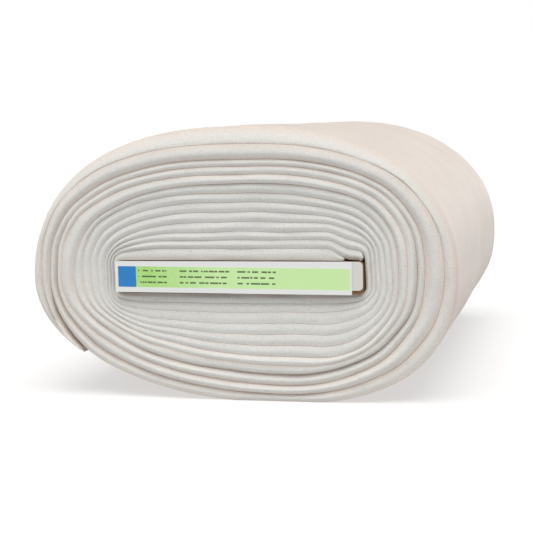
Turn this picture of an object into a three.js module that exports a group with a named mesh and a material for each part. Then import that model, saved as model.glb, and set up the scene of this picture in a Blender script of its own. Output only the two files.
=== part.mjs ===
// A roll of quilt batting: one long strip of cotton wadding, folded in half end to end and wound double
// on a flat cardboard board, with its fold left loose at the lower left of the near face.
// Millimetres, +Z up. The roll's axis runs along Y and the labelled end of the board faces -Y.

import * as THREE from "three";
import { mergeVertices } from "three/addons/utils/BufferGeometryUtils.js";

// Driving sizes
const CLOTH_WIDTH = 558.8;
const GAP_BETWEEN_LAYERS = 0.7;
const STEPS_PER_QUARTER = 9;
const FLAT_SPOT_HEIGHT = -119.3;

const BOARD_WIDTH = 242.4;
const BOARD_THICKNESS = 30.5;
const BOARD_LENGTH = 560;
const BOARD_CORNER = 4;

const CARD_WIDTH = 241.6;
const CARD_HEIGHT = 27;
const CARD_THICKNESS = 0.8;
const LABEL = { left: -121.2, right: 110.6, top: 15.4, footAtLeft: -14.5, footAtRight: -15.9 };
const LABEL_THICKNESS = 0.4;
const SEAT_GAP = 0.3;

// Where each groove between two layers lies, one row for a groove and the outermost first.
// The first four columns are distances from the middle of the board, in millimetres. The next four say
// how full the corners are: 2 is the corner of an ellipse and 10 is nearly square. The column lowAt is how
// far right of the middle the groove is lowest, because the roll sags there. The column drop is how far
// the groove steps down past the ends of the strip, at the right of the board's top. The last one is how
// far the near edge of the layer inside the groove stands out of the end face.
const COLUMNS = [
  "left", "top", "right", "bottom", "topLeft", "topRight", "bottomRight", "bottomLeft",
  "lowAt", "drop", "proud",
];
const GROOVES = [
  [207.0, 143.0, 206.5, 121.3, 2.25, 2.25, 2.3, 2.25, 45, 0, -1.0],
  [198.5, 126.5, 196.0, 112.5, 2.5, 2.5, 2.1, 2.15, 45, 0, 1.5],
  [190.0, 112.0, 178.0, 104.0, 2.5, 2.7, 2.1, 2.0, 45, 0, -2.5],
  [183.5, 105.5, 171.0, 93.5, 2.5, 2.8, 2.1, 2.1, 45, 0, -1.0],
  [178.0, 97.5, 162.5, 84.0, 2.55, 2.9, 2.1, 2.2, 60, 0, 2.0],
  [165.0, 88.5, 154.0, 76.0, 2.4, 3.0, 2.1, 2.45, 75, 0, -3.0],
  [156.5, 79.0, 148.0, 65.5, 2.75, 3.0, 2.2, 2.8, 75, 0, -3.0],
  [148.0, 70.5, 142.0, 55.0, 2.7, 3.1, 2.3, 3.5, 75, 0, -3.0],
  [140.5, 61.5, 136.5, 45.0, 2.85, 3.3, 2.5, 4.2, 70, 0, -3.5],
  [133.8, 52.5, 131.8, 34.0, 2.9, 4.2, 3.0, 6.0, 60, 2.5, -3.5],
  [130.7, 43.0, 127.6, 25.6, 3.4, 6.0, 4.5, 8.0, 50, 5.2, -4.0],
  [127.8, 35.0, 123.4, 16.4, 4.2, 10.0, 10.0, 22.0, 45, 7.4, -4.0],
  [125.0, 27.0, 123.0, 16.4, 5.8, 14.0, 10.0, 22.0, 45, 10.2, -4.0],
  [122.1, 15.7, 123.0, 16.4, 24.0, 10.0, 10.0, 22.0, 45, 0, -4.0],
].map((row) => Object.fromEntries(COLUMNS.map((name, i) => [name, row[i]])));

// Where the grooves step down, as distances to the right of the board's middle
const STEP_DOWN = { from: 86, to: 109 };

// The loose fold below the left side: how far down each surface would reach, how full its curve is, and
// the share of the quarter from the left side to the bottom that it runs for
const LOOSE_FOLD = {
  outside: { bottom: 108.7, fullness: 2.2, share: 0.44 },
  crease: { bottom: 118.0, fullness: 2.15, share: 0.29 },
  inside: { bottom: 98.3, fullness: 2.9, share: 0.4 },
};
const FOLD_STEPS = 7;
const CREASE_STEPS = 4;
const FOLD_TIP = { x: -156.6, z: -74.6 };

// The two ends of the strip lie on top of the board. After its whole turns, each ply runs up the left side
// and ends this far to the right of the board's middle.
const FIRST_PLY = { turns: 6, endsAt: 101.8 };
const SECOND_PLY = { turns: 5, endsAt: 116.5 };

// The stations of the quarter from the top to the right are closest where the grooves step down
const TOP_RIGHT_TURNS = [0, 0.04, 0.085, 0.13, 0.18, 0.24, 0.31, 0.4, 0.5, 0.6, 0.7, 0.8, 0.9];
const LAST_STATIONS = [0, 30, 60, 78, 86, 90, 94, 98, 102, 106, 110, 114];
const LEAST_SPACING = 1;

// The edge of the cloth seen from its side: how deep each ring lies and how far it is drawn in
const EDGE_RINGS = [
  { depth: 0.0, drawnIn: 0.34 },
  { depth: 0.45, drawnIn: 0.0 },
];
const LEAST_HALF_THICKNESS = 1.5;
const END_ROUNDING = 0.4;

// The edge ripples along each turn. A layer that stands out at one end of the roll lies back at the other.
const RIPPLE = { height: 0.8, halfWavesPerTurn: 9, shiftPerRow: 1.7 };
const FAR_END_SHARE = -0.6;

function corner(across, up, fullness, turn) {
  const angle = turn * Math.PI / 2;
  const power = 2 / fullness;
  return {
    across: across * Math.max(Math.cos(angle), 0) ** power,
    up: up * Math.max(Math.sin(angle), 0) ** power,
  };
}

function easedStep(share) {
  const way = Math.min(Math.max(share, 0), 1);
  return way * way * (3 - 2 * way);
}

// A point on a groove. Quarters run clockwise seen from the near end: left to top, top to right, right to
// bottom, and bottom to the left side of the groove two rows further in, because the strip is double.
function groovePoint(row, quarter, turn) {
  const groove = GROOVES[row];
  if (quarter === 0) {
    const p = corner(groove.left, groove.top, groove.topLeft, turn);
    return { x: -p.across, z: p.up };
  }
  if (quarter === 1) {
    const p = corner(groove.right, groove.top, groove.topRight, 1 - turn);
    const steppedDown = easedStep((p.across - STEP_DOWN.from) / (STEP_DOWN.to - STEP_DOWN.from));
    return { x: p.across, z: p.up * (1 - steppedDown * groove.drop / groove.top) };
  }
  if (quarter === 2) {
    const p = corner(groove.right - groove.lowAt, groove.bottom, groove.bottomRight, turn);
    return { x: groove.lowAt + p.across, z: -p.up };
  }
  const p = corner(GROOVES[row + 2].left + groove.lowAt, groove.bottom, groove.bottomLeft, 1 - turn);
  return { x: groove.lowAt - p.across, z: -p.up };
}

// The share of the quarter from the top to the right at which a groove is this far to the right
function turnAt(row, x) {
  const groove = GROOVES[row];
  return Math.asin((x / groove.right) ** (groove.topRight / 2)) * 2 / Math.PI;
}

// The stations of one ply from the left side, where the loose fold joins on, to its end on the board
function plyStations(ply, rowOffset) {
  const stations = [];
  const evenTurns = Array.from({ length: STEPS_PER_QUARTER }, (_, step) => step / STEPS_PER_QUARTER);
  for (let quarter = 0; quarter <= 4 * ply.turns; quarter++) {
    const turns = quarter % 4 === 1 ? TOP_RIGHT_TURNS : evenTurns;
    for (const turn of turns) {
      stations.push({ row: 2 * Math.floor(quarter / 4), quarter: quarter % 4, turn, innerTurn: turn });
    }
  }
  const row = 2 * ply.turns;
  const lastOnes = LAST_STATIONS.filter((x) => x < ply.endsAt - LEAST_SPACING);
  for (const x of [...lastOnes, ply.endsAt]) {
    const turn = turnAt(row + rowOffset, x);
    const innerTurn = turnAt(row + rowOffset + 1, x);
    stations.push({ row, quarter: 1, turn, innerTurn });
  }
  return stations;
}

// Moves a line of points sideways, to the right of its direction where the distance is above zero
function offsetLine(points, distance) {
  return points.map((point, i) => {
    const before = points[Math.max(i - 1, 0)];
    const after = points[Math.min(i + 1, points.length - 1)];
    const length = Math.hypot(after.x - before.x, after.z - before.z);
    return {
      x: point.x + distance * (after.z - before.z) / length,
      z: point.z - distance * (after.x - before.x) / length,
    };
  });
}

// Both surfaces of a ply. The strip runs clockwise, so inwards is to the right of its direction.
function plySurfaces(stations, rowOffset, foldOutside, foldInside) {
  const outerLead = foldOutside.slice().reverse();
  const innerLead = foldInside.slice().reverse();
  const outer = stations.map((s) => groovePoint(s.row + rowOffset, s.quarter, s.turn));
  const inner = stations.map((s) => groovePoint(s.row + rowOffset + 1, s.quarter, s.innerTurn));
  const half = GAP_BETWEEN_LAYERS / 2;
  const outerLine = offsetLine([...outerLead, ...outer], half);
  const innerLine = offsetLine([...innerLead, ...inner], -half);
  return { outerLine, innerLine };
}

function middle(a, b) {
  return { x: (a.x + b.x) / 2, z: (a.z + b.z) / 2 };
}

// How far the near edge stands out at a station, eased from one layer of the roll to the next
function edgeStandsOut(station, rowOffset) {
  const here = GROOVES[station.row + rowOffset].proud;
  const next = GROOVES[Math.min(station.row + rowOffset + 2, GROOVES.length - 1)].proud;
  const way = (station.quarter + station.turn) / 4;
  const phase = RIPPLE.halfWavesPerTurn * way * Math.PI / 2 + RIPPLE.shiftPerRow * station.row + rowOffset;
  return here + (next - here) * easedStep(way) + RIPPLE.height * Math.sin(phase);
}

// One surface of the loose fold, from the left side of the roll down towards the tip
function foldLine(surface, row, steps) {
  const points = [];
  for (let step = 1; step <= steps; step++) {
    const p = corner(GROOVES[row].left, surface.bottom, surface.fullness, surface.share * step / steps);
    points.push({ x: -p.across, z: -p.up });
  }
  return points;
}

// The closed outline of the strip seen from its end: out along one ply's outside, back along its inside
// to the crease of the loose fold, out and back along the other ply, and round the tip of the fold.
function stripOutline() {
  const foldOutside = foldLine(LOOSE_FOLD.outside, 0, FOLD_STEPS);
  const foldCrease = foldLine(LOOSE_FOLD.crease, 1, CREASE_STEPS);
  const foldInside = foldLine(LOOSE_FOLD.inside, 2, FOLD_STEPS);

  const firstStations = plyStations(FIRST_PLY, 0);
  const secondStations = plyStations(SECOND_PLY, 1);
  const first = plySurfaces(firstStations, 0, foldOutside, foldCrease);
  const second = plySurfaces(secondStations, 1, foldCrease, foldInside);
  first.outerLine = first.outerLine.map((p) => ({ x: p.x, z: Math.max(p.z, FLAT_SPOT_HEIGHT) }));

  const outline = [];
  const addVertex = (point, centre, proud) => outline.push({ ...point, centre, proud });
  const firstProud = (i) => edgeStandsOut(firstStations[Math.max(i, 0)], 0);
  const secondProud = (i) => edgeStandsOut(secondStations[Math.max(i, 0)], 1);

  // Along the first ply's outside, from the tip of the fold to its end on the board
  first.outerLine.forEach((point, i) => {
    const inFold = i - FOLD_STEPS;
    const mate = inFold >= -CREASE_STEPS
      ? first.innerLine[inFold + CREASE_STEPS]
      : second.innerLine[i];
    addVertex(point, middle(point, mate), firstProud(inFold));
  });
  addEnd(first, firstProud(firstStations.length - 1), addVertex);
  for (let i = first.innerLine.length - 1; i > 0; i--) {
    const mate = first.outerLine[i - CREASE_STEPS + FOLD_STEPS];
    addVertex(first.innerLine[i], middle(first.innerLine[i], mate), firstProud(i - CREASE_STEPS));
  }

  // The crease, where the two plies part
  const crease = middle(first.innerLine[0], second.outerLine[0]);
  addVertex(crease, crease, firstProud(0));

  // Along the second ply and back to the tip
  for (let i = 1; i < second.outerLine.length; i++) {
    const mate = second.innerLine[i - CREASE_STEPS + FOLD_STEPS];
    addVertex(second.outerLine[i], middle(second.outerLine[i], mate), secondProud(i - CREASE_STEPS));
  }
  addEnd(second, secondProud(secondStations.length - 1), addVertex);
  for (let i = second.innerLine.length - 1; i >= 0; i--) {
    const inFold = i - FOLD_STEPS;
    const mate = inFold >= -CREASE_STEPS
      ? second.outerLine[inFold + CREASE_STEPS]
      : first.outerLine[i];
    const proud = inFold >= 0 ? secondProud(inFold) : firstProud(inFold);
    addVertex(second.innerLine[i], middle(second.innerLine[i], mate), proud);
  }
  addVertex(FOLD_TIP, middle(first.outerLine[0], second.innerLine[0]), firstProud(0));
  return outline;
}

// The cut end of a ply is rounded by one point past its last station
function addEnd(ply, proud, addVertex) {
  const outer = ply.outerLine[ply.outerLine.length - 1];
  const inner = ply.innerLine[ply.innerLine.length - 1];
  const centre = middle(outer, inner);
  const tip = {
    x: centre.x + END_ROUNDING * (outer.z - inner.z),
    z: centre.z - END_ROUNDING * (outer.x - inner.x),
  };
  addVertex(tip, centre, proud);
}

function ringPoints(outline, end, ring) {
  return outline.map((vertex) => {
    const half = Math.hypot(vertex.x - vertex.centre.x, vertex.z - vertex.centre.z);
    const standsOut = end < 0 ? vertex.proud : FAR_END_SHARE * vertex.proud;
    const depth = ring.depth * 2 * Math.max(half, LEAST_HALF_THICKNESS);
    return new THREE.Vector3(
      vertex.x + ring.drawnIn * (vertex.centre.x - vertex.x),
      end * (CLOTH_WIDTH / 2 + standsOut - depth),
      vertex.z + ring.drawnIn * (vertex.centre.z - vertex.z),
    );
  });
}

function battingGeometry() {
  const outline = stripOutline();
  const count = outline.length;
  const rings = [
    ...EDGE_RINGS.map((ring) => ringPoints(outline, -1, ring)),
    ...EDGE_RINGS.slice().reverse().map((ring) => ringPoints(outline, 1, ring)),
  ];
  const positions = rings.flat().flatMap((p) => [p.x, p.y, p.z]);
  const triangles = [];
  for (let ring = 0; ring < rings.length - 1; ring++) {
    for (let i = 0; i < count; i++) {
      const next = (i + 1) % count;
      const a = ring * count + i;
      const b = ring * count + next;
      triangles.push(a, b, a + count, b, b + count, a + count);
    }
  }
  const face = THREE.ShapeUtils.triangulateShape(rings[0].map((p) => new THREE.Vector2(p.x, p.z)), []);
  const last = (rings.length - 1) * count;
  const nearFace = face.map(([a, b, c]) => isClockwise(rings[0], a, b, c) ? [a, c, b] : [a, b, c]);
  for (const [a, b, c] of nearFace) {
    triangles.push(a, b, c);
    triangles.push(last + a, last + c, last + b);
  }
  const geometry = new THREE.BufferGeometry();
  geometry.setAttribute("position", new THREE.Float32BufferAttribute(positions, 3));
  geometry.setIndex(triangles);
  return geometry;
}

function isClockwise(points, a, b, c) {
  const [p, q, r] = [points[a], points[b], points[c]];
  return (q.x - p.x) * (r.z - p.z) - (q.z - p.z) * (r.x - p.x) < 0;
}

function roundedRectangle(width, height) {
  const shape = new THREE.Shape();
  const radius = BOARD_CORNER;
  const [w, h] = [width / 2, height / 2];
  shape.moveTo(-w + radius, -h);
  shape.lineTo(w - radius, -h);
  shape.absarc(w - radius, -h + radius, radius, -Math.PI / 2, 0);
  shape.lineTo(w, h - radius);
  shape.absarc(w - radius, h - radius, radius, 0, Math.PI / 2);
  shape.lineTo(-w + radius, h);
  shape.absarc(-w + radius, h - radius, radius, Math.PI / 2, Math.PI);
  shape.lineTo(-w, -h + radius);
  shape.absarc(-w + radius, -h + radius, radius, Math.PI, Math.PI * 1.5);
  return shape;
}

// A plate standing in the XZ plane, its near face at the given depth
function plate(shape, thickness, nearFaceAt) {
  const settings = { depth: thickness, bevelEnabled: false, curveSegments: 4 };
  const geometry = new THREE.ExtrudeGeometry(shape, settings);
  geometry.rotateX(Math.PI / 2);
  geometry.translate(0, nearFaceAt + thickness, 0);
  return geometry;
}

function named(name, geometry, colour, roughness) {
  geometry.deleteAttribute("normal");
  geometry.deleteAttribute("uv");
  const closed = mergeVertices(geometry, 1e-3);
  closed.computeVertexNormals();
  const material = new THREE.MeshStandardMaterial({ color: colour, roughness, metalness: 0 });
  const mesh = new THREE.Mesh(closed, material);
  mesh.name = name;
  return mesh;
}

const boardNear = -BOARD_LENGTH / 2;
const cardNear = boardNear - SEAT_GAP - CARD_THICKNESS;
const labelNear = cardNear - SEAT_GAP - LABEL_THICKNESS;
const labelShape = new THREE.Shape([
  new THREE.Vector2(LABEL.left, LABEL.footAtLeft),
  new THREE.Vector2(LABEL.right, LABEL.footAtRight),
  new THREE.Vector2(LABEL.right, LABEL.top),
  new THREE.Vector2(LABEL.left, LABEL.top),
]);

const batting = named("batting", battingGeometry(), 0xe6e1d6, 0.95);
const boardShape = roundedRectangle(BOARD_WIDTH, BOARD_THICKNESS);
const board = named("core_board", plate(boardShape, BOARD_LENGTH, boardNear), 0xb08d63, 0.85);
const cardShape = roundedRectangle(CARD_WIDTH, CARD_HEIGHT);
const card = named("end_card", plate(cardShape, CARD_THICKNESS, cardNear), 0xf1f0ee, 0.7);
const label = named("end_label", plate(labelShape, LABEL_THICKNESS, labelNear), 0xf6f6f4, 0.5);

// The card closes the board from its top edge and leaves a strip of the board open below it
card.geometry.translate(0, 0, (BOARD_THICKNESS - CARD_HEIGHT) / 2);

const roll = new THREE.Group();
roll.name = "quilt_batting_roll";
roll.add(batting, board, card, label);

// The origin is the middle of the foot of the roll's box
const box = new THREE.Box3().setFromObject(roll);
roll.position.set(-(box.min.x + box.max.x) / 2, -(box.min.y + box.max.y) / 2, -box.min.z);

export default roll;
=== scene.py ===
# A roll of quilt batting: one long strip of natural cotton wadding, folded in half end to end and wound
# double on a flat cardboard board. The near end of the board has a white card with a paper label on it.
# Metres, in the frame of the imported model: the labelled end faces -Y and the floor is at Z = 0.
import math

import bmesh
import bpy
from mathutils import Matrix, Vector, noise


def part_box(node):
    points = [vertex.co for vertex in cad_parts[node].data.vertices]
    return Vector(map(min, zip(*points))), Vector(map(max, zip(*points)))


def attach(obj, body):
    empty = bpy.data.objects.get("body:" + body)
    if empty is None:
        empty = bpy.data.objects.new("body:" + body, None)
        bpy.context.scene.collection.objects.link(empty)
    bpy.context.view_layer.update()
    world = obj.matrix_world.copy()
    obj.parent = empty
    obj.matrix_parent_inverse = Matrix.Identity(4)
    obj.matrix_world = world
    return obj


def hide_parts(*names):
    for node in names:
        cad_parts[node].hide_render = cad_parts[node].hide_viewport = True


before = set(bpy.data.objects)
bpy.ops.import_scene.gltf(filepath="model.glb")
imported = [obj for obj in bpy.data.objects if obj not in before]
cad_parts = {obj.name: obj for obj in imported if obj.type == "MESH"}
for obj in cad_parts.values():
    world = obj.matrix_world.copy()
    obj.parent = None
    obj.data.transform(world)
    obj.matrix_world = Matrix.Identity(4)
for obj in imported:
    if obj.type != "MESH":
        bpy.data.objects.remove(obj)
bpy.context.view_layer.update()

# The core board is brown corrugated cardboard, scored and folded into a flat box as long as the cloth is
# wide. A flap closes its far end, tucked in between the walls with a narrow gap round it.
board_low, board_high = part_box("core_board")
board_middle = (board_low + board_high) / 2
half_board = (board_high - board_low) / 2
BOARD_CORNER = 0.004
BOARD_CORNER_STEPS = 4
BOARD_WALL = 0.0028
FLAP_GAP = 0.0009
FLAP_GAP_DEPTH = 0.004
SHARP_EDGES_FROM = math.radians(40)

# A direction or a normal with this much of its length along an axis counts as lying along it
ALONG_AXIS = 0.99


def deselect_all():
    bpy.ops.object.select_all(action="DESELECT")


def pick(piece, kind, test):
    """Selects the edges or faces of a piece that pass a test on their middle and direction or normal."""
    bpy.ops.object.mode_set(mode="EDIT")
    bpy.ops.mesh.select_mode(type=kind)
    bpy.ops.mesh.select_all(action="DESELECT")
    shape = bmesh.from_edit_mesh(piece.data)
    if kind == "EDGE":
        for edge in shape.edges:
            a, b = (vertex.co for vertex in edge.verts)
            edge.select_set(test((a + b) / 2, (b - a).normalized()))
    else:
        for face in shape.faces:
            face.select_set(test(face.calc_center_median(), face.normal))
    bmesh.update_edit_mesh(piece.data)


def runs_along_board(_, direction):
    return abs(direction.y) > ALONG_AXIS


def faces_far_end(_, normal):
    return normal.y > ALONG_AXIS


deselect_all()
bpy.ops.mesh.primitive_cube_add(size=1, location=board_middle)
core_box = bpy.context.object
core_box.name = "core_box"
core_box.data.name = "core_box"
core_box.scale = board_high - board_low
bpy.ops.object.transform_apply(location=True, rotation=False, scale=True)
pick(core_box, "EDGE", runs_along_board)
bpy.ops.mesh.bevel(offset=BOARD_CORNER, segments=BOARD_CORNER_STEPS, affect="EDGES")
pick(core_box, "FACE", faces_far_end)
bpy.ops.mesh.inset(thickness=BOARD_WALL)
bpy.ops.mesh.inset(thickness=FLAP_GAP)
gap_from_side = BOARD_WALL + FLAP_GAP / 2
half_flap = half_board - Vector((gap_from_side, 0, gap_from_side))


def in_flap_gap(middle, normal):
    off = middle - board_middle
    at_side = abs(abs(off.x) - half_flap.x) < FLAP_GAP / 2 and abs(off.z) < half_flap.z + FLAP_GAP
    at_top = abs(abs(off.z) - half_flap.z) < FLAP_GAP / 2 and abs(off.x) < half_flap.x + FLAP_GAP
    return faces_far_end(middle, normal) and (at_side or at_top)


pick(core_box, "FACE", in_flap_gap)
bpy.ops.mesh.extrude_region_move(TRANSFORM_OT_translate={"value": (0, -FLAP_GAP_DEPTH, 0)})
bpy.ops.object.mode_set(mode="OBJECT")
bpy.ops.object.shade_smooth_by_angle(angle=SHARP_EDGES_FROM)


def linear(hex_colour):
    """A colour given as sRGB hex, in the linear values that the shaders take."""
    channels = [int(hex_colour[i:i + 2], 16) / 255 for i in (1, 3, 5)]
    return (*[c / 12.92 if c <= 0.04045 else ((c + 0.055) / 1.055) ** 2.4 for c in channels], 1)


def new_material(name, roughness, specular):
    """A material and its principled shader, whose uniform values are set on its own sockets."""
    material = bpy.data.materials.new(name)
    material.use_nodes = True
    shader = material.node_tree.nodes["Principled BSDF"]
    shader.inputs["Roughness"].default_value = roughness
    shader.inputs["Specular IOR Level"].default_value = specular
    return material, shader


def link_to(owner, node, links):
    """Links outputs to the inputs of a node, each input given by its name or number."""
    for key, output in dict(links).items():
        owner.node_tree.links.new(output, node.inputs[key])


def add_node(owner, kind, settings=(), links=()):
    """Adds a node to a material or the world. A setting goes to the input of that name or number, or else
    to the property of that name."""
    node = owner.node_tree.nodes.new("ShaderNode" + kind)
    for key, value in dict(settings).items():
        if isinstance(key, int) or key in node.inputs:
            node.inputs[key].default_value = value
        else:
            setattr(node, key, value)
    link_to(owner, node, links)
    return node


def finish_with(piece, material):
    piece.data.materials.clear()
    piece.data.materials.append(material)


# The numbers of a Mix node's sockets when it mixes colours
MIX_A, MIX_B, MIX_OUT = 6, 7, 2

# Kraft corrugated board: a matt brown liner, faintly ribbed by the flutes under it, with darker fibres. Its
# browns are darker than bare kraft: painted shade for the shadowed gap round the board.
# A wave texture whose scale is 1 has 3.2 bands to the metre.
FLUTE_PITCH_MM = 7.0
BANDS_AT_SCALE_ONE = 3.2
KRAFT_FIBRE_WIDTH_MM = 1.111
KRAFT_FIBRE_LENGTH_MM = 6.25
FLUTE_RELIEF = 0.6
kraft, kraft_shader = new_material("kraft_corrugated_board", roughness=0.85, specular=0.3)
kraft_place = add_node(kraft, "TexCoord").outputs["Object"]
flutes = add_node(
    kraft, "TexWave",
    {
        "wave_type": "BANDS", "bands_direction": "X", "Distortion": 0.4,
        "Scale": 1000 / FLUTE_PITCH_MM / BANDS_AT_SCALE_ONE,
    },
    {"Vector": kraft_place},
)
across_fibres = 1000 / KRAFT_FIBRE_WIDTH_MM
along_fibres = 1000 / KRAFT_FIBRE_LENGTH_MM
long_fibres = add_node(
    kraft, "Mapping", {"Scale": (across_fibres, along_fibres, across_fibres)}, {"Vector": kraft_place},
)
pulp = add_node(kraft, "TexNoise", {"Scale": 1.0, "Detail": 4.0}, {"Vector": long_fibres.outputs["Vector"]})
# Painted shade: both browns are darker than bare kraft, standing in for the shadow in the gap round the
# board
shaded_kraft_colour = add_node(
    kraft, "Mix",
    {"data_type": "RGBA", MIX_A: linear("#6E4D30"), MIX_B: linear("#8C6843")},
    {0: pulp.outputs["Fac"]},
)
kraft_height = add_node(
    kraft, "Math", {"operation": "MULTIPLY_ADD", 1: FLUTE_RELIEF},
    {0: flutes.outputs["Fac"], 2: pulp.outputs["Fac"]},
)
kraft_bump = add_node(
    kraft, "Bump", {"Strength": 0.35, "Distance": 0.0004}, {"Height": kraft_height.outputs[0]},
)
link_to(kraft, kraft_shader, {
    "Base Color": shaded_kraft_colour.outputs[MIX_OUT], "Normal": kraft_bump.outputs["Normal"],
})
finish_with(core_box, kraft)
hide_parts("core_board")
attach(core_box, "root")

# The end card is the board's near flap: bleached white card, coated on its outer side and cut by a die,
# with rounded corners. It closes the board, and its right end shows beyond the label.

# Bleached coated card: a smooth greyish white with a low sheen and very faint clouds
CARD_GRAIN_MM = 0.6
CARD_CLOUD_MM = 33.3
white_card, card_shader = new_material("bleached_coated_card", roughness=0.55, specular=0.4)
card_place = add_node(white_card, "TexCoord").outputs["Object"]
card_grain = add_node(
    white_card, "TexNoise", {"Scale": 1000 / CARD_GRAIN_MM, "Detail": 2.0}, {"Vector": card_place},
)
card_clouds = add_node(
    white_card, "TexNoise", {"Scale": 1000 / CARD_CLOUD_MM, "Detail": 2.0}, {"Vector": card_place},
)
card_colour = add_node(
    white_card, "Mix",
    {"data_type": "RGBA", MIX_A: linear("#C6C5C3"), MIX_B: linear("#D1D0CE")},
    {0: card_clouds.outputs["Fac"]},
)
card_bump = add_node(
    white_card, "Bump", {"Strength": 0.15, "Distance": 0.0002}, {"Height": card_grain.outputs["Fac"]},
)
link_to(white_card, card_shader, {
    "Base Color": card_colour.outputs[MIX_OUT], "Normal": card_bump.outputs["Normal"],
})
finish_with(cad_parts["end_card"], white_card)

# The end label is white paper, glued on the card and printed with a green band that falls a little to the
# right. The band is darker and mottled towards its left end, where a blue block stands, and it has three
# groups of plain dashes.
label_low, label_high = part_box("end_label")
BAND_LEFT_MARGIN = 0.0030
BAND_RIGHT_MARGIN = 0.0015
BAND_BELOW_TOP = 0.0048
BAND_HEIGHT = 0.0201
BAND_FALL_TO_RIGHT = 0.0084
BLOCK_WIDTH = 0.0181
LEAFY_UP_TO = 0.03
PLAIN_FROM = 0.1
MOTTLE_MM = 2.38

# Printed label paper: a smooth white with a slight gloss, and even inks that don't stand out from it
label_paper, label_shader = new_material("printed_label_paper", roughness=0.42, specular=0.5)
label_place = add_node(label_paper, "TexCoord").outputs["Object"]
label_axes = add_node(label_paper, "SeparateXYZ", (), {0: label_place})
level = add_node(
    label_paper, "Math", {"operation": "MULTIPLY_ADD", 1: BAND_FALL_TO_RIGHT},
    {0: label_axes.outputs["X"], 2: label_axes.outputs["Z"]},
)
band_left = label_low.x + BAND_LEFT_MARGIN
band_top_level = label_high.z - BAND_BELOW_TOP + BAND_FALL_TO_RIGHT * band_left


def patch(left, right, down, height):
    """1 inside a patch of the label that slants with the band and 0 outside it. Its left and right ends are
    places along X, and down is how far its top lies below the band's."""
    across = add_node(
        label_paper, "Math", {"operation": "COMPARE", 1: (left + right) / 2, 2: (right - left) / 2},
        {0: label_axes.outputs["X"]},
    )
    up = add_node(
        label_paper, "Math", {"operation": "COMPARE", 1: band_top_level - down - height / 2, 2: height / 2},
        {0: level.outputs[0]},
    )
    inside = add_node(
        label_paper, "Math", {"operation": "MULTIPLY"}, {0: across.outputs[0], 1: up.outputs[0]},
    )
    return inside.outputs[0]


in_band = patch(band_left, label_high.x - BAND_RIGHT_MARGIN, 0, BAND_HEIGHT)
in_block = patch(band_left, band_left + BLOCK_WIDTH, 0, BAND_HEIGHT)
mottle = add_node(
    label_paper, "TexNoise", {"Scale": 1000 / MOTTLE_MM, "Detail": 3.0}, {"Vector": label_place},
)
leafy = add_node(
    label_paper, "Mix",
    {"data_type": "RGBA", MIX_A: linear("#90C656"), MIX_B: linear("#B6DD92")},
    {0: mottle.outputs["Fac"]},
)
towards_right = add_node(
    label_paper, "MapRange", {"From Min": band_left + LEAFY_UP_TO, "From Max": band_left + PLAIN_FROM},
    {"Value": label_axes.outputs["X"]},
)
band_colour = add_node(
    label_paper, "Mix",
    {"data_type": "RGBA", MIX_B: linear("#C0E1A1")},
    {0: towards_right.outputs[0], MIX_A: leafy.outputs[MIX_OUT]},
)
with_band = add_node(
    label_paper, "Mix",
    {"data_type": "RGBA", MIX_A: linear("#DADCDB")},
    {0: in_band, MIX_B: band_colour.outputs[MIX_OUT]},
)
with_block = add_node(
    label_paper, "Mix",
    {"data_type": "RGBA", MIX_B: linear("#1F78BC")},
    {0: in_block, MIX_A: with_band.outputs[MIX_OUT]},
)

# The dashes stand in rows that slant with the band. Each group is given by its two ends along X. A noise
# along X breaks each row into dashes, and it is shifted for each row, so that no two rows are alike.
DASH_GROUPS = ((-0.0975, -0.069), (-0.056, -0.007), (0.001, 0.0385))
DASH_ROWS = 3
ROW_PITCH = 0.0056
ROW_HEIGHT = 0.0016
FIRST_ROW_DOWN = 0.0033
DASH_MM = 4.2
SHIFT_BETWEEN_ROWS = 7.3
INKED_ABOVE = 0.45
INK_DENSITY = 0.9
printed = with_block
for row in range(DASH_ROWS):
    dash_place = add_node(
        label_paper, "Math", {"operation": "MULTIPLY_ADD", 1: 1000 / DASH_MM, 2: SHIFT_BETWEEN_ROWS * row},
        {0: label_axes.outputs["X"]},
    )
    dashes = add_node(
        label_paper, "TexNoise", {"noise_dimensions": "1D", "Scale": 1.0, "Detail": 1.0},
        {"W": dash_place.outputs[0]},
    )
    inked = add_node(
        label_paper, "Math", {"operation": "GREATER_THAN", 1: INKED_ABOVE}, {0: dashes.outputs["Fac"]},
    )
    density = add_node(
        label_paper, "Math", {"operation": "MULTIPLY", 1: INK_DENSITY}, {0: inked.outputs[0]},
    )
    for left, right in DASH_GROUPS:
        row_patch = patch(left, right, FIRST_ROW_DOWN + row * ROW_PITCH, ROW_HEIGHT)
        ink = add_node(
            label_paper, "Math", {"operation": "MULTIPLY"}, {0: row_patch, 1: density.outputs[0]},
        )
        printed = add_node(
            label_paper, "Mix",
            {"data_type": "RGBA", MIX_B: linear("#3E4F34")},
            {0: ink.outputs[0], MIX_A: printed.outputs[MIX_OUT]},
        )
link_to(label_paper, label_shader, {"Base Color": printed.outputs[MIX_OUT]})
finish_with(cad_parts["end_label"], label_paper)

# The batting is one strip of needle-punched natural cotton, about 8 mm thick, folded in half end to end
# and wound double. Its cut edges are soft and rounded, and its turns stand out unevenly at the ends.
CLOTH_WIDTH = 0.5588
GAP_BETWEEN_LAYERS = 0.0002

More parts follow.
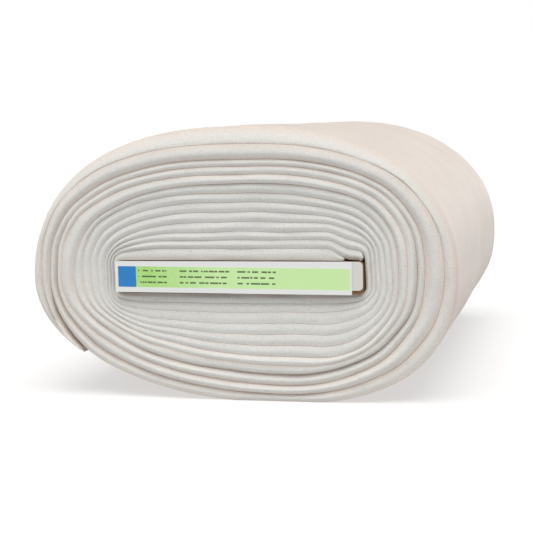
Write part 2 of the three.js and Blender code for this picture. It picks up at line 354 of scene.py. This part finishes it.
# Where each groove between two layers lies, one row for a groove and the outermost first.
# The first four columns are distances from the middle of the board, in millimetres. The next four say
# how full the corners are: 2 is the corner of an ellipse and 10 is nearly square. The column low_at is how
# far right of the middle the groove is lowest, because the roll sags there, and drop is how far the groove
# steps down past the ends of the strip, at the right of the board's top. The next four say how far the
# near edge of the layer inside the groove stands out, above and below, and how deep the groove is there.
# The last is the share of the layer's thickness, from its inner surface, at which its upper part stands
# out most. The lower part does so in its middle.
COLUMNS = (
    "left", "top", "right", "bottom", "top_left", "top_right", "bottom_right", "bottom_left",
    "low_at", "drop", "proud", "proud_below", "deep", "deep_below", "proud_at",
)
GROOVES = [
    dict(zip(COLUMNS, row), proud_at_below=0.5)
    for row in (
        (207.0, 143.0, 206.5, 121.3, 2.36, 2.25, 2.3, 2.25, 45, 0.0, -1.5, -1.0, 15.0, 3.6, 0.1),
        (198.5, 126.5, 196.0, 112.5, 2.5, 2.5, 2.1, 2.15, 45, 0.0, 1.5, 1.5, 1.6, 3.0, 0.4),
        (190.0, 112.0, 178.0, 104.0, 2.5, 2.7, 2.1, 2.0, 45, 0.0, 0.4, 0.2, 2.2, 3.0, 0.5),
        (183.5, 105.5, 171.0, 93.5, 2.5, 2.8, 2.1, 2.1, 45, 0.0, 0.5, 0.5, 1.4, 4.8, 0.5),
        (178.0, 97.5, 162.5, 84.0, 2.55, 2.9, 2.1, 2.2, 60, 0.0, 1.4, 2.2, 1.1, -0.3, 0.4),
        (165.0, 88.5, 154.0, 76.0, 2.4, 3.0, 2.1, 2.45, 75, 0.0, -0.3, -0.4, 2.0, 1.6, 0.5),
        (156.5, 79.0, 148.0, 65.5, 2.75, 3.0, 2.2, 2.8, 75, 0.0, -1.0, -1.2, 2.7, 2.2, 0.5),
        (148.0, 70.5, 142.0, 55.0, 2.7, 3.1, 2.3, 3.5, 75, 0.0, -1.4, -1.7, 3.0, 2.6, 0.5),
        (140.5, 61.5, 136.5, 45.0, 2.85, 3.3, 2.5, 4.2, 70, 0.0, -1.6, -2.1, 3.3, 2.9, 0.5),
        (133.8, 52.5, 131.8, 34.0, 2.9, 4.2, 3.0, 6.0, 60, 2.5, -1.9, -3.2, 3.5, 3.6, 0.5),
        (130.7, 43.0, 127.6, 25.6, 3.4, 6.0, 4.5, 8.0, 50, 5.2, -2.2, -4.4, 3.8, 5.0, 0.5),
        (127.8, 35.0, 122.3, 16.4, 4.2, 10.0, 10.0, 22.0, 45, 7.4, -2.4, -5.4, 4.0, 6.2, 0.5),
        (125.0, 27.0, 123.0, 16.4, 5.8, 14.0, 10.0, 22.0, 45, 10.2, -2.6, -5.6, 4.1, 6.8, 0.5),
        (122.1, 15.7, 123.0, 16.4, 24.0, 10.0, 10.0, 22.0, 45, 0.0, -2.6, -5.6, 2.8, 7.2, 0.5),
    )
]

# Where the grooves step down, in millimetres to the right of the board's middle
STEP_DOWN_FROM = 86.0
STEP_DOWN_TO = 109.0

# The loose fold below the left side: how far down each surface would reach, in millimetres, how full its
# curve is, and the share of the quarter from the left side to the bottom that it runs for. The place of
# its tip is in metres from the board's middle.
FOLD_OUTSIDE = {"bottom": 108.7, "fullness": 2.2, "share": 0.44}
FOLD_CREASE = {"bottom": 118.0, "fullness": 2.15, "share": 0.29}
FOLD_INSIDE = {"bottom": 98.3, "fullness": 2.9, "share": 0.4}
FOLD_STEPS = 21
CREASE_STEPS = 12
FOLD_TIP = Vector((-0.1566, -0.0746))

# Past the lower end of the crease the two plies part over this many steps
PLIES_PART_OVER = 4

# How far the cut end of each ply bulges, as a share of its thickness
CUT_END_ROUNDING = (0.4, 0.25)

# The two ends of the strip lie on top of the board: the whole turns of each ply, and how far to the right
# of the board's middle it ends, in millimetres
FIRST_PLY = {"turns": 6, "ends_at": 101.8}
SECOND_PLY = {"turns": 5, "ends_at": 119.0}


def corner(across, up, fullness, turn):
    """A point on the quarter of a superellipse, from its side at turn 0 to its top at turn 1."""
    size = ((1 - turn) ** fullness + turn ** fullness) ** (1 / fullness)
    return across * (1 - turn) / size, up * turn / size


def turn_at(row, x):
    """The share of the quarter from the top to the right at which a groove is this far to the right."""
    groove = GROOVES[row]
    power = groove["top_right"]
    other_side = max((groove["right"] / x) ** power - 1, 0) ** (1 / power) if x > 0 else math.inf
    return 1 / (1 + other_side)


def eased_step(share):
    way = min(max(share, 0.0), 1.0)
    return way * way * (3 - 2 * way)


def groove_point(row, quarter, turn):
    """A point on a groove, in metres from the board's middle. Quarters run clockwise seen from the near
    end: left to top, top to right, right to bottom, and bottom to the left side of the groove two rows
    further in, because the strip is double."""
    groove = GROOVES[row]
    if quarter == 0:
        across, up = corner(groove["left"], groove["top"], groove["top_left"], turn)
        x, z = -across, up
    elif quarter == 1:
        across, up = corner(groove["right"], groove["top"], groove["top_right"], 1 - turn)
        stepped = eased_step((across - STEP_DOWN_FROM) / (STEP_DOWN_TO - STEP_DOWN_FROM))
        x, z = across, up * (1 - stepped * groove["drop"] / groove["top"])
    elif quarter == 2:
        across, up = corner(
            groove["right"] - groove["low_at"], groove["bottom"], groove["bottom_right"], turn,
        )
        x, z = groove["low_at"] + across, -up
    else:
        left = GROOVES[row + 2]["left"] + groove["low_at"]
        across, up = corner(left, groove["bottom"], groove["bottom_left"], 1 - turn)
        x, z = groove["low_at"] - across, -up
    return Vector((x, z)) / 1000


def spread(*spans):
    """Values from 0 on, given as pairs of how far a span goes and how many steps it takes."""
    values = [0.0]
    for end, steps in spans:
        start = values[-1]
        values += [start + (end - start) * step / steps for step in range(1, steps + 1)]
    return values


# The stations lie closer in the corners, and closest at the top right, where the grooves step down. On
# the board they are in millimetres from its middle, and none but the last is this near to the cut end.
TURNS = spread((0.4, 9), (0.6, 8), (1.0, 9))[:-1]
TOP_RIGHT_TURNS = spread((0.4, 12), (0.6, 20), (1.0, 10))[:-1]
LAST_STATIONS = spread((80, 8), (116, 18))
CLEAR_OF_CUT_END = 1.0


def ply_stations(ply, row_offset):
    """The stations of one ply from the left side, where the loose fold joins on, to its end on the board.
    Each holds its row, its quarter and the turns of its outer and its inner groove."""
    stations = []
    for quarter in range(4 * ply["turns"] + 1):
        for turn in TOP_RIGHT_TURNS if quarter % 4 == 1 else TURNS:
            stations.append((2 * (quarter // 4), quarter % 4, turn, turn))
    row = 2 * ply["turns"]
    before_end = [x for x in LAST_STATIONS if x < ply["ends_at"] - CLEAR_OF_CUT_END]
    for x in before_end + [ply["ends_at"]]:
        stations.append((row, 1, turn_at(row + row_offset, x), turn_at(row + row_offset + 1, x)))
    return stations


def offset_line(points, distance):
    """Moves a line of points sideways, to the right of its direction where the distance is above zero."""
    moved = []
    for i, point in enumerate(points):
        run = (points[min(i + 1, len(points) - 1)] - points[max(i - 1, 0)]).normalized()
        moved.append(point + distance * Vector((run.y, -run.x)))
    return moved


def fold_line(surface, row, steps):
    """One surface of the loose fold, from its lower end up to the left side of the roll."""
    points = []
    power = 2 / surface["fullness"]
    for step in range(steps, 0, -1):
        angle = surface["share"] * step / steps * math.pi / 2
        across = GROOVES[row]["left"] * math.cos(angle) ** power
        down = surface["bottom"] * math.sin(angle) ** power
        points.append(Vector((-across, -down)) / 1000)
    return points


def ply_surfaces(stations, row_offset, fold_outer, fold_inner):
    """The outer and the inner surface of a ply. The strip runs clockwise, so inwards is to the right."""
    outer = [groove_point(row + row_offset, quarter, turn) for row, quarter, turn, _ in stations]
    inner = [groove_point(row + row_offset + 1, quarter, turn) for row, quarter, _, turn in stations]
    half = GAP_BETWEEN_LAYERS / 2
    return offset_line(fold_outer + outer, half), offset_line(fold_inner + inner, -half)


# The edges change to their lower heights between these shares of their groove's height above the board.
# They are also rippled a little, in waves as long along the layers and as wide across them as given here.
LOWER_FROM = 0.6
LOWER_TO = -0.1
RIPPLE = 0.0010
RIPPLE_LENGTH = 0.035
RIPPLE_WIDTH = 0.012


def eased(column, station, row_offset):
    """A value from the table at a station. A turn joins the one two rows in at its left side."""
    row, quarter, turn, _ = station
    here = GROOVES[row + row_offset][column]
    following = GROOVES[min(row + row_offset + 2, len(GROOVES) - 1)][column]
    return here + (following - here) * eased_step(turn if quarter == 3 else 0)


def eased_down(above, below, station, row_offset, height):
    """A value that changes from one column above to another below, at a height over the board's middle."""
    share = 1000 * height / eased("top", station, row_offset)
    start, end = (eased(column, station, row_offset) for column in (above, below))
    return start + (end - start) * eased_step((LOWER_FROM - share) / (LOWER_FROM - LOWER_TO))


def edge_heights(station, row_offset, centre):
    """How far the edge of the cloth stands out in its middle, at its outer and at its inner surface."""
    uneven = noise.noise(Vector((centre.x / RIPPLE_LENGTH, centre.y / RIPPLE_WIDTH, row_offset)))
    crown = eased_down("proud", "proud_below", station, row_offset, centre.y) / 1000 + RIPPLE * uneven
    outer, inner = (
        -eased_down("deep", "deep_below", station, groove, centre.y) / 1000
        for groove in (row_offset, row_offset + 1)
    )
    return crown, outer, inner


first_stations = ply_stations(FIRST_PLY, 0)
second_stations = ply_stations(SECOND_PLY, 1)
fold_outside = fold_line(FOLD_OUTSIDE, 0, FOLD_STEPS)
fold_crease = fold_line(FOLD_CREASE, 1, CREASE_STEPS)
fold_inside = fold_line(FOLD_INSIDE, 2, FOLD_STEPS)
first_outer, first_inner = ply_surfaces(first_stations, 0, fold_outside, fold_crease)
second_outer, second_inner = ply_surfaces(second_stations, 1, fold_crease, fold_inside)

# The roll's own weight presses it flat where it lies on the floor
floor_below_board = -board_middle.z
first_outer = [Vector((p.x, max(p.y, floor_below_board))) for p in first_outer]

# The closed outline of the strip seen from its end: out along one ply's outside and back along its inside
# to the crease of the fold, out and back along the other ply, and round the tip of the fold. The steps are
# counted from the tip of the fold, and the crease starts fold_lead steps past it.
fold_lead = FOLD_STEPS - CREASE_STEPS
outline = []


def apart(step):
    """How far the plies have parted: 0 in the fold, before the crease between them, and 1 past it."""
    return eased_step((step - fold_lead) / PLIES_PART_OVER)


def station_at(row_offset, step):
    stations = second_stations if row_offset else first_stations
    return stations[max(step - FOLD_STEPS, 0)]


def cloth_middle(outer, inner, row_offset, step):
    """Where a ply stands out most between its two surfaces, or both plies together before they part."""
    share = eased_down("proud_at", "proud_at_below", station_at(row_offset, step), row_offset, outer.y)
    middle = inner.lerp(outer, share)
    if apart(step) < 1:
        middle = ((first_outer[step] + second_inner[step]) / 2).lerp(middle, apart(step))
    return middle


def add_to_outline(point, centre, row_offset, step, on_inside):
    """A point of the outline, with the middle of the cloth beside it and the heights of its edge there.
    Inward is 0 at the roll's outside and 1 at the board. Where the plies meet in the fold, the edge has no
    groove, and where they part, the groove between them deepens step by step."""
    here = station_at(row_offset, step)
    crown, outer, inner = edge_heights(here, row_offset, centre)
    level = inner if on_inside else outer
    if apart(step) < 1:
        fold_crown = edge_heights(first_stations[0], 0, centre)[0]
        crown = fold_crown + (crown - fold_crown) * apart(step)
        faces_other_ply = on_inside != bool(row_offset)
        if faces_other_ply:
            level = crown + (level - crown) * apart(step)
    outline.append({
        "point": point, "centre": centre, "crown": crown, "level": level,
        "inward": (here[0] + row_offset) / (len(GROOVES) - 1),
    })


def add_cut_end(outer, inner, row_offset, step):
    """The cut end of a ply is rounded by one point past its last station."""
    centre = (outer + inner) / 2
    across = outer - inner
    tip = centre + CUT_END_ROUNDING[row_offset] * Vector((across.y, -across.x))
    add_to_outline(tip, centre, row_offset, step, False)


for step, point in enumerate(first_outer):
    mate = first_inner[max(step - fold_lead, 0)]
    add_to_outline(point, cloth_middle(point, mate, 0, step), 0, step, False)
add_cut_end(first_outer[-1], first_inner[-1], 0, len(first_outer) - 1)
for step in range(len(first_outer) - 1, fold_lead, -1):
    point = first_inner[step - fold_lead]
    add_to_outline(point, cloth_middle(first_outer[step], point, 0, step), 0, step, True)
crease = (first_inner[0] + second_outer[0]) / 2
add_to_outline(crease, crease, 0, fold_lead, True)
for step in range(fold_lead + 1, len(second_inner)):
    point = second_outer[step - fold_lead]
    add_to_outline(point, cloth_middle(point, second_inner[step], 1, step), 1, step, False)
add_cut_end(second_outer[-1], second_inner[-1], 1, len(second_inner) - 1)
for step in range(len(second_inner) - 1, -1, -1):
    mate = second_outer[max(step - fold_lead, 0)]
    add_to_outline(second_inner[step], cloth_middle(mate, second_inner[step], 1, step), 1, step, True)
add_to_outline(FOLD_TIP, (first_outer[0] + second_inner[0]) / 2, 0, 0, True)

# The rounded edge is drawn by rings, each at a share of the way from the middle of the cloth to its
# surface. It falls off slowly at first and faster towards the surface, where it turns level again.
# The turns that stand out at the near end lie back at the far end, by 0.6 of as much.
EDGE_SHARES = (0.0, 0.25, 0.5, 0.7, 0.85, 0.95, 1.0)
LEVEL_SHARE = 0.6
FAR_END_SHARE = -0.6
SECTIONS_ALONG = 14


def edge_ring(end, share):
    """One ring at the near end, which is -1, or at the far end, which is 1."""
    ring = []
    for vertex in outline:
        across = vertex["centre"] + share * (vertex["point"] - vertex["centre"])
        crown = vertex["crown"] if end < 0 else FAR_END_SHARE * vertex["crown"]
        rounded = share ** 2 + (eased_step(share) - share ** 2) * LEVEL_SHARE
        fall = (vertex["crown"] - vertex["level"]) * rounded
        ring.append(Vector((across.x, end * (CLOTH_WIDTH / 2 + crown - fall), across.y)))
    return ring


# The cloth is soft: the roll is a little uneven along its length, slack just behind its near rim and fuller
# towards the upper right of its far end. These are shares of its size, over lengths in metres, and about
# 1.3 of the noise's cells reach from the roll's middle to its side. The floor holds it still at its foot.
SWELL = 0.012
SWELL_LENGTH = 0.16
SWELL_CELLS = 1.3
SWELL_SHIFT = 5.0
SWELL_STARTS_OUTSIDE = 0.004
SWELL_GROWS_OVER = 0.05
FREE_OF_FLOOR_AT = 0.06
SLACK = 0.010
SLACK_BEHIND_RIM = 0.075
SLACK_LENGTH = 0.045
FULLER = 0.025

# The inner layers lie in gentle waves, except on the board itself
WAVE = 0.0034
WAVE_LENGTH = 0.045
WAVE_THICKNESS = 0.030
WAVE_FADES_OVER = 0.018
WAVE_ENDS_OUT = 0.115


def settled(point):
    """Moves a point of the roll by its waves, and outwards or inwards from the board by its swell."""
    off_board = Vector((max(abs(point.x) - half_board.x, 0), max(abs(point.z) - half_board.z, 0)))
    fade = min(off_board.length / WAVE_FADES_OVER, 1.0) * max(1 - off_board.length / WAVE_ENDS_OUT, 0.0)
    wave_place = Vector((point.x / WAVE_LENGTH, point.y / SWELL_LENGTH, point.z / WAVE_THICKNESS))
    wave = WAVE * fade * noise.noise(wave_place)
    turned = Vector((point.x, point.z)).normalized()
    swell_place = Vector((
        SWELL_CELLS * turned.x, point.y / SWELL_LENGTH, SWELL_CELLS * turned.y + SWELL_SHIFT,
    ))
    swell = SWELL * noise.noise(swell_place)
    swell += FULLER * eased_step(point.y / CLOTH_WIDTH + 0.5) * max(2 * turned.x * turned.y, 0)
    behind = (point.y + CLOTH_WIDTH / 2 - SLACK_BEHIND_RIM) / SLACK_LENGTH
    slack = SLACK * math.exp(-behind * behind) * max(turned.y, 0)
    above_floor = point.z + board_middle.z
    clear_of_floor = min(max(above_floor / FREE_OF_FLOOR_AT, 0.0), 1.0)
    inside_rim = CLOTH_WIDTH / 2 - abs(point.y)
    away_from_rim = min((inside_rim + SWELL_STARTS_OUTSIDE) / SWELL_GROWS_OVER, 1.0)
    size = 1 + (swell * max(away_from_rim, 0) - slack) * clear_of_floor
    moved = Vector((point.x + wave * turned.x, point.y, point.z + wave * turned.y))
    return Vector((moved.x * size, moved.y, moved.z * size)) + board_middle


near_rings = [edge_ring(-1, share) for share in EDGE_SHARES]
far_rings = [edge_ring(1, share) for share in reversed(EDGE_SHARES)]
wall_rings = []
for section in range(1, SECTIONS_ALONG):
    way = section / SECTIONS_ALONG
    wall_rings.append([near.lerp(far, way) for near, far in zip(near_rings[-1], far_rings[0])])
rings = near_rings + wall_rings + far_rings
cut_near = [1 - share ** 2 for share in EDGE_SHARES]
cut_at_ring = cut_near + [0.0] * len(wall_rings) + cut_near[::-1]

# The first and the last ring run out and back along the middle of the cloth, so merging their points closes
# the edges, all but a few small holes
MERGED_WITHIN = 1e-6
HOLE_SIDES = 8
shape = bmesh.new()
cut_layer = shape.verts.layers.float.new("cut_edge")
inward_layer = shape.verts.layers.float.new("inward")
grid = []
for ring, cut_here in zip(rings, cut_at_ring):
    made_ring = []
    for point, vertex in zip(ring, outline):
        made = shape.verts.new(settled(point))
        made[cut_layer] = cut_here
        made[inward_layer] = vertex["inward"]
        made_ring.append(made)
    grid.append(made_ring)
for nearer, farther in zip(grid, grid[1:]):
    for i in range(len(outline)):
        j = (i + 1) % len(outline)
        face = shape.faces.new((nearer[i], nearer[j], farther[j], farther[i]))
        face.smooth = True
bmesh.ops.remove_doubles(shape, verts=shape.verts, dist=MERGED_WITHIN)
open_edges = [edge for edge in shape.edges if edge.is_boundary]
bmesh.ops.holes_fill(shape, edges=open_edges, sides=HOLE_SIDES)
bmesh.ops.recalc_face_normals(shape, faces=shape.faces)
batting_mesh = bpy.data.meshes.new("cotton_batting")
shape.to_mesh(batting_mesh)
shape.free()
batting = bpy.data.objects.new("cotton_batting", batting_mesh)
bpy.context.scene.collection.objects.link(batting)

# Needle-punched natural cotton: matt and fuzzy, cream with a warmer skin than its cut edges, clouded
# where the fibres lie thicker, and flecked with a few tan bits of seed. Further in, both are paler. The
# next three lines are places on the way inwards, where 0 is the roll's outside and 1 the board.
EDGE_PALE_BY = 0.3
SKIN_PALES_FROM = 0.05
SKIN_PALE_BY = 0.5
SKIN_PALED_SHARE = 0.8
CLOUD_MM = 45.0
FLECK_SPACING_MM = 9.0
FLECK_CORE_MM = 0.45
FLECK_RADIUS_MM = 0.81
FLECK_DENSITY = 0.55
FIBRE_MM = 1.6
FIBRE_DARKEST = 0.91
FIBRE_LIGHTEST = 1.04

# Nearly all the values of a noise texture lie between these two
NOISE_LOW = 0.3
NOISE_HIGH = 0.7

cotton, cotton_shader = new_material("needle_punched_cotton", roughness=0.95, specular=0.15)
cotton_shader.inputs["Sheen Weight"].default_value = 0.35
cotton_shader.inputs["Sheen Roughness"].default_value = 0.6
cotton_place = add_node(cotton, "TexCoord").outputs["Object"]
cut_edge = add_node(cotton, "Attribute", {"attribute_name": "cut_edge"})
inward = add_node(cotton, "Attribute", {"attribute_name": "inward"})
clouds = add_node(cotton, "TexNoise", {"Scale": 1000 / CLOUD_MM, "Detail": 3.0}, {"Vector": cotton_place})
fibres = add_node(cotton, "TexNoise", {"Scale": 1000 / FIBRE_MM, "Detail": 3.0}, {"Vector": cotton_place})
skin = add_node(
    cotton, "Mix",
    {"data_type": "RGBA", MIX_A: linear("#C9BBB5"), MIX_B: linear("#D9CEC1")},
    {0: clouds.outputs["Fac"]},
)
inner_edge = add_node(
    cotton, "Mix",
    {"data_type": "RGBA", MIX_A: linear("#C8C9C7"), MIX_B: linear("#D3D4D1")},
    {0: clouds.outputs["Fac"]},
)
towards_middle = add_node(
    cotton, "MapRange", {"From Min": 0.0, "From Max": EDGE_PALE_BY}, {"Value": inward.outputs["Fac"]},
)
edge_colour = add_node(
    cotton, "Mix",
    {"data_type": "RGBA", MIX_A: linear("#CECCC8")},
    {0: towards_middle.outputs[0], MIX_B: inner_edge.outputs[MIX_OUT]},
)
paler = add_node(
    cotton, "MapRange",
    {"From Min": SKIN_PALES_FROM, "From Max": SKIN_PALE_BY, "To Min": 0.0, "To Max": SKIN_PALED_SHARE},
    {"Value": inward.outputs["Fac"]},
)
edge_share = add_node(
    cotton, "Math", {"operation": "MAXIMUM"}, {0: cut_edge.outputs["Fac"], 1: paler.outputs[0]},
)
cream = add_node(
    cotton, "Mix", {"data_type": "RGBA"},
    {0: edge_share.outputs[0], MIX_A: skin.outputs[MIX_OUT], MIX_B: edge_colour.outputs[MIX_OUT]},
)
fleck_cells = add_node(
    cotton, "TexVoronoi", {"Scale": 1000 / FLECK_SPACING_MM}, {"Vector": cotton_place},
)
fleck = add_node(
    cotton, "MapRange",
    {
        "From Min": FLECK_CORE_MM / FLECK_SPACING_MM, "From Max": FLECK_RADIUS_MM / FLECK_SPACING_MM,
        "To Min": FLECK_DENSITY, "To Max": 0.0,
    },
    {"Value": fleck_cells.outputs["Distance"]},
)
flecked = add_node(
    cotton, "Mix",
    {"data_type": "RGBA", MIX_B: linear("#A89778")},
    {0: fleck.outputs[0], MIX_A: cream.outputs[MIX_OUT]},
)
fibre_shade = add_node(
    cotton, "MapRange",
    {"From Min": NOISE_LOW, "From Max": NOISE_HIGH, "To Min": FIBRE_DARKEST, "To Max": FIBRE_LIGHTEST},
    {"Value": fibres.outputs["Fac"]},
)
shaded = add_node(
    cotton, "Mix",
    {"data_type": "RGBA", "blend_type": "MULTIPLY", 0: 1.0},
    {MIX_A: flecked.outputs[MIX_OUT], MIX_B: fibre_shade.outputs[0]},
)
fuzz = add_node(cotton, "Bump", {"Strength": 0.5, "Distance": 0.0008}, {"Height": fibres.outputs["Fac"]})
link_to(cotton, cotton_shader, {
    "Base Color": shaded.outputs[MIX_OUT], "Normal": fuzz.outputs["Normal"],
})
finish_with(batting, cotton)
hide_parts("batting")
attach(batting, "root")

# The floor is a wide sheet of plain, matt white studio paper. It is lit from below round and behind the
# roll, so its shadows stay light, and that light fades out in front of the set.
PAPER_SIZE = 60.0
PAPER_GLOW = 0.50
GLOW_ENDS_AT = -3.0
GLOW_FULL_FROM = -0.75
deselect_all()
bpy.ops.mesh.primitive_plane_add(size=PAPER_SIZE)
floor = bpy.context.object
floor.name = "floor"
floor_paper, floor_shader = new_material("matt_white_paper", roughness=0.9, specular=0.2)
floor_shader.inputs["Base Color"].default_value = linear("#A8A8A8")
floor_shader.inputs["Emission Color"].default_value = linear("#FFFFFF")
floor_place = add_node(floor_paper, "TexCoord").outputs["Object"]
floor_axes = add_node(floor_paper, "SeparateXYZ", (), {0: floor_place})
glow = add_node(
    floor_paper, "MapRange",
    {"From Min": GLOW_ENDS_AT, "From Max": GLOW_FULL_FROM, "To Min": 0.0, "To Max": PAPER_GLOW},
    {"Value": floor_axes.outputs["Y"]},
)
link_to(floor_paper, floor_shader, {"Emission Strength": glow.outputs[0]})
finish_with(floor, floor_paper)

# The air round the set is white behind the roll, brighter overhead than at the sides and dim below. It
# starts to whiten where a direction points backwards by the first share here, and is white by the second.
WHITENS_FROM = 0.70
WHITE_BY = 0.88
AIR_AT_SIDES = 0.09
AIR_OVERHEAD = 0.70
AIR_BEHIND_ROLL = 1.0
world = bpy.data.worlds.new("studio_air")
world.use_nodes = True
background = world.node_tree.nodes["Background"]
background.inputs["Color"].default_value = linear("#FFFFFF")
towards = add_node(world, "TexCoord").outputs["Generated"]
towards_axes = add_node(world, "SeparateXYZ", (), {0: towards})
behind_roll = add_node(
    world, "MapRange",
    {"From Min": WHITENS_FROM, "From Max": WHITE_BY, "To Min": 0.0, "To Max": AIR_BEHIND_ROLL},
    {"Value": towards_axes.outputs["Y"]},
)
overhead = add_node(
    world, "MapRange",
    {"From Min": 0.0, "From Max": 1.0, "To Min": AIR_AT_SIDES, "To Max": AIR_OVERHEAD},
    {"Value": towards_axes.outputs["Z"]},
)
air = add_node(world, "Math", {"operation": "MAXIMUM"}, {0: behind_roll.outputs[0], 1: overhead.outputs[0]})
link_to(world, background, {"Strength": air.outputs[0]})
bpy.context.scene.world = world
bpy.context.scene.view_settings.view_transform = "Standard"

# The light is one broad, soft lamp, far enough off to light the roll alike from end to end. It shines down
# from high in front, from a little to the right of the labelled end.
LAMP_HEIGHT_ANGLE = math.radians(65)
LAMP_AZIMUTH = math.radians(8)
LAMP_STRENGTH = 2.9
LAMP_SPREAD = math.radians(50)


def direction_to(azimuth, height_angle):
    """The direction from the roll to a place in front of it, turned to the right by the azimuth."""
    level_part = math.cos(height_angle)
    return Vector((
        math.sin(azimuth) * level_part, -math.cos(azimuth) * level_part, math.sin(height_angle),
    ))


lamp_data = bpy.data.lights.new("key", "SUN")
lamp_data.energy = LAMP_STRENGTH
lamp_data.angle = LAMP_SPREAD
lamp_data.color = linear("#FFFEFC")[:3]
lamp = bpy.data.objects.new("key", lamp_data)
to_lamp = direction_to(LAMP_AZIMUTH, LAMP_HEIGHT_ANGLE)
lamp.rotation_euler = (-to_lamp).to_track_quat("-Z", "Y").to_euler()
bpy.context.scene.collection.objects.link(lamp)

# The camera looks at the labelled end from a little to the right and above, through a long lens, and it
# leans over slightly.
CAMERA_AZIMUTH = math.radians(13.15)
CAMERA_HEIGHT_ANGLE = math.radians(6.13)
CAMERA_LEAN = math.radians(1.2)
CAMERA_DISTANCE = 1.293
CAMERA_TARGET = Vector((0.0289, -0.2788, 0.1297))
LENS_MM = 92.4
SENSOR_MM = 36.0
camera_data = bpy.data.cameras.new("camera")
camera_data.lens = LENS_MM
camera_data.sensor_width = SENSOR_MM
camera = bpy.data.objects.new("camera", camera_data)
to_camera = direction_to(CAMERA_AZIMUTH, CAMERA_HEIGHT_ANGLE)
camera.location = CAMERA_TARGET + CAMERA_DISTANCE * to_camera
camera.rotation_euler = (-to_camera).to_track_quat("-Z", "Y").to_euler()
camera.rotation_euler.rotate_axis("Z", -CAMERA_LEAN)
bpy.context.scene.collection.objects.link(camera)
bpy.context.scene.camera = camera
